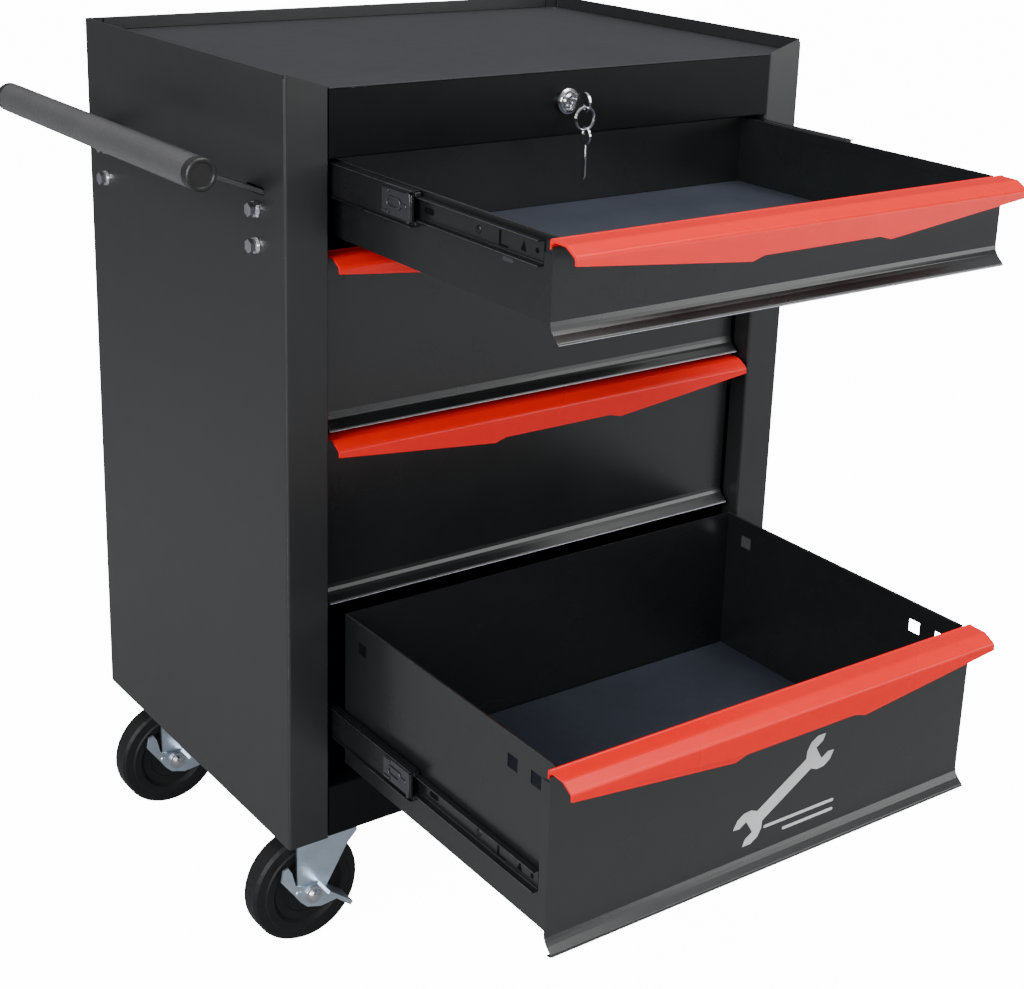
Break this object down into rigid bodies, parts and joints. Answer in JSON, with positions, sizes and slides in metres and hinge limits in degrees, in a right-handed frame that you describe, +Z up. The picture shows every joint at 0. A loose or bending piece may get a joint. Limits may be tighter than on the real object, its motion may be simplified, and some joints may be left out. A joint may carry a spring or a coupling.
{
  "type": "rolling tool chest",
  "caption": "Sheet-metal tool chest on casters: sliding drawers with red pulls under a recessed top, key lock, and a push handle on one side.",
  "frame": {"origin": "centre of the footprint of the bounding box, on the floor under the casters", "axes": "+Z up, -Y out of the drawer fronts, -X towards the push handle"},
  "size_m": [0.5892, 0.6787, 0.7498],
  "materials": {
    "shell": "satin black powder coat",
    "top": "satin dark grey powder coat",
    "drawer": "satin black powder coat",
    "pull": "glossy red powder coat",
    "liner": "matt dark blue grey mat",
    "slide": "black coated steel",
    "zinc": "bluish zinc plate",
    "bolt": "bright zinc plate",
    "lock": "bright chrome",
    "tyre": "black, slightly worn",
    "tube": "satin black powder coat",
    "cap": "black plastic"
  },
  "bodies": {
    "cabinet": {"side_panel_left": "shell", "side_panel_right": "shell", "back_panel": "shell", "top_panel": "top", "header_panel": "shell", "bottom_panel": "shell", "slide_rack_left": "slide", "slide_rack_right": "slide", "caster_plate_left_front": "zinc", "caster_plate_left_rear": "zinc", "caster_bracket_right_front": "zinc", "caster_bracket_right_rear": "zinc", "caster_axle_right_front": "bolt", "caster_axle_right_rear": "bolt", "lock_housing": "lock", "handle_tube": "tube", "handle_arm_front": "tube", "handle_arm_rear": "tube", "handle_cap_front": "cap", "handle_cap_rear": "cap", "handle_bolt_front_upper": "bolt", "handle_bolt_front_lower": "bolt", "handle_bolt_rear_upper": "bolt", "handle_bolt_rear_lower": "bolt"},
    "drawer_1": {"drawer_box_1": "drawer", "drawer_pull_1": "pull", "drawer_liner_1": "liner"},
    "slides_1": {"slide_mid_left_1": "slide", "slide_mid_right_1": "slide"},
    "drawer_2": {"drawer_box_2": "drawer", "drawer_pull_2": "pull", "drawer_liner_2": "liner"},
    "slides_2": {"slide_mid_left_2": "slide", "slide_mid_right_2": "slide"},
    "drawer_3": {"drawer_box_3": "drawer", "drawer_pull_3": "pull", "drawer_liner_3": "liner"},
    "slides_3": {"slide_mid_left_3": "slide", "slide_mid_right_3": "slide"},
    "drawer_4": {"drawer_box_4": "drawer", "drawer_pull_4": "pull", "drawer_liner_4": "liner"},
    "slides_4": {"slide_mid_left_4": "slide", "slide_mid_right_4": "slide"},
    "fork_left_front": {"caster_fork_left_front": "zinc", "caster_axle_left_front": "bolt"},
    "wheel_left_front": {"caster_wheel_left_front": "tyre"},
    "brake_left_front": {"brake_lever_left_front": "zinc"},
    "wheel_right_front": {"caster_wheel_right_front": "tyre"},
    "fork_left_rear": {"caster_fork_left_rear": "zinc", "caster_axle_left_rear": "bolt"},
    "wheel_left_rear": {"caster_wheel_left_rear": "tyre"},
    "brake_left_rear": {"brake_lever_left_rear": "zinc"},
    "wheel_right_rear": {"caster_wheel_right_rear": "tyre"},
    "lock_core": {"lock_plug": "lock", "lock_key": "lock"},
    "key_ring": {"key_ring": "lock"},
    "lock_bar": {"lock_bar": "zinc"}
  },
  "joints": [
    {"name": "drawer_1_slide", "type": "slide", "parent": "cabinet", "child": "drawer_1", "axis": [0, -1, 0], "range_m": [-0.286, 0.02]},
    {"name": "slides_1_slide", "type": "slide", "parent": "cabinet", "child": "slides_1", "axis": [0, -1, 0], "range_m": [-0.143, 0.01]},
    {"name": "drawer_2_slide", "type": "slide", "parent": "cabinet", "child": "drawer_2", "axis": [0, -1, 0], "range_m": [0, 0.306]},
    {"name": "slides_2_slide", "type": "slide", "parent": "cabinet", "child": "slides_2", "axis": [0, -1, 0], "range_m": [0, 0.153]},
    {"name": "drawer_3_slide", "type": "slide", "parent": "cabinet", "child": "drawer_3", "axis": [0, -1, 0], "range_m": [0, 0.306]},
    {"name": "slides_3_slide", "type": "slide", "parent": "cabinet", "child": "slides_3", "axis": [0, -1, 0], "range_m": [0, 0.153]},
    {"name": "drawer_4_slide", "type": "slide", "parent": "cabinet", "child": "drawer_4", "axis": [0, -1, 0], "range_m": [-0.306, 0]},
    {"name": "slides_4_slide", "type": "slide", "parent": "cabinet", "child": "slides_4", "axis": [0, -1, 0], "range_m": [-0.153, 0]},
    {"name": "swivel_left_front", "type": "hinge", "parent": "cabinet", "child": "fork_left_front", "pos_m": [-0.15637, 0.0247, 0.106], "axis": [0, 0, 1], "continuous": true},
    {"name": "roll_left_front", "type": "hinge", "parent": "fork_left_front", "child": "wheel_left_front", "pos_m": [-0.18038, 0.0247, 0.05], "axis": [0, 1, 0], "continuous": true},
    {"name": "brake_press_front", "type": "hinge", "parent": "fork_left_front", "child": "brake_left_front", "pos_m": [-0.18038, 0.0247, 0.05], "axis": [0, 1, 0], "range_deg": [0, 14]},
    {"name": "roll_right_front", "type": "hinge", "parent": "cabinet", "child": "wheel_right_front", "pos_m": [0.23563, 0.0247, 0.05], "axis": [0, 1, 0], "continuous": true},
    {"name": "swivel_left_rear", "type": "hinge", "parent": "cabinet", "child": "fork_left_rear", "pos_m": [-0.15637, 0.2887, 0.106], "axis": [0, 0, 1], "continuous": true},
    {"name": "roll_left_rear", "type": "hinge", "parent": "fork_left_rear", "child": "wheel_left_rear", "pos_m": [-0.18038, 0.2887, 0.05], "axis": [0, 1, 0], "continuous": true},
    {"name": "brake_press_rear", "type": "hinge", "parent": "fork_left_rear", "child": "brake_left_rear", "pos_m": [-0.18038, 0.2887, 0.05], "axis": [0, 1, 0], "range_deg": [0, 14]},
    {"name": "roll_right_rear", "type": "hinge", "parent": "cabinet", "child": "wheel_right_rear", "pos_m": [0.23563, 0.2887, 0.05], "axis": [0, 1, 0], "continuous": true},
    {"name": "key_turn", "type": "hinge", "parent": "cabinet", "child": "lock_core", "pos_m": [0.03963, -0.0203, 0.714], "axis": [0, 1, 0], "range_deg": [0, 90]},
    {"name": "key_ring_swing", "type": "hinge", "parent": "lock_core", "child": "key_ring", "pos_m": [0.03963, -0.0453, 0.7128], "axis": [1, 0, 0], "range_deg": [-30, 25]},
    {"name": "lock_bar_drop", "type": "slide", "parent": "cabinet", "child": "lock_bar", "axis": [0, 0, -1], "range_m": [0, 0.012]}
  ],
  "couplings": [
    {"joint": "slides_1_slide", "follows": "drawer_1_slide", "ratio": 0.5},
    {"joint": "slides_2_slide", "follows": "drawer_2_slide", "ratio": 0.5},
    {"joint": "slides_3_slide", "follows": "drawer_3_slide", "ratio": 0.5},
    {"joint": "slides_4_slide", "follows": "drawer_4_slide", "ratio": 0.5},
    {"joint": "key_turn", "follows": "lock_bar_drop", "rad_per_m": 130.89}
  ]
}
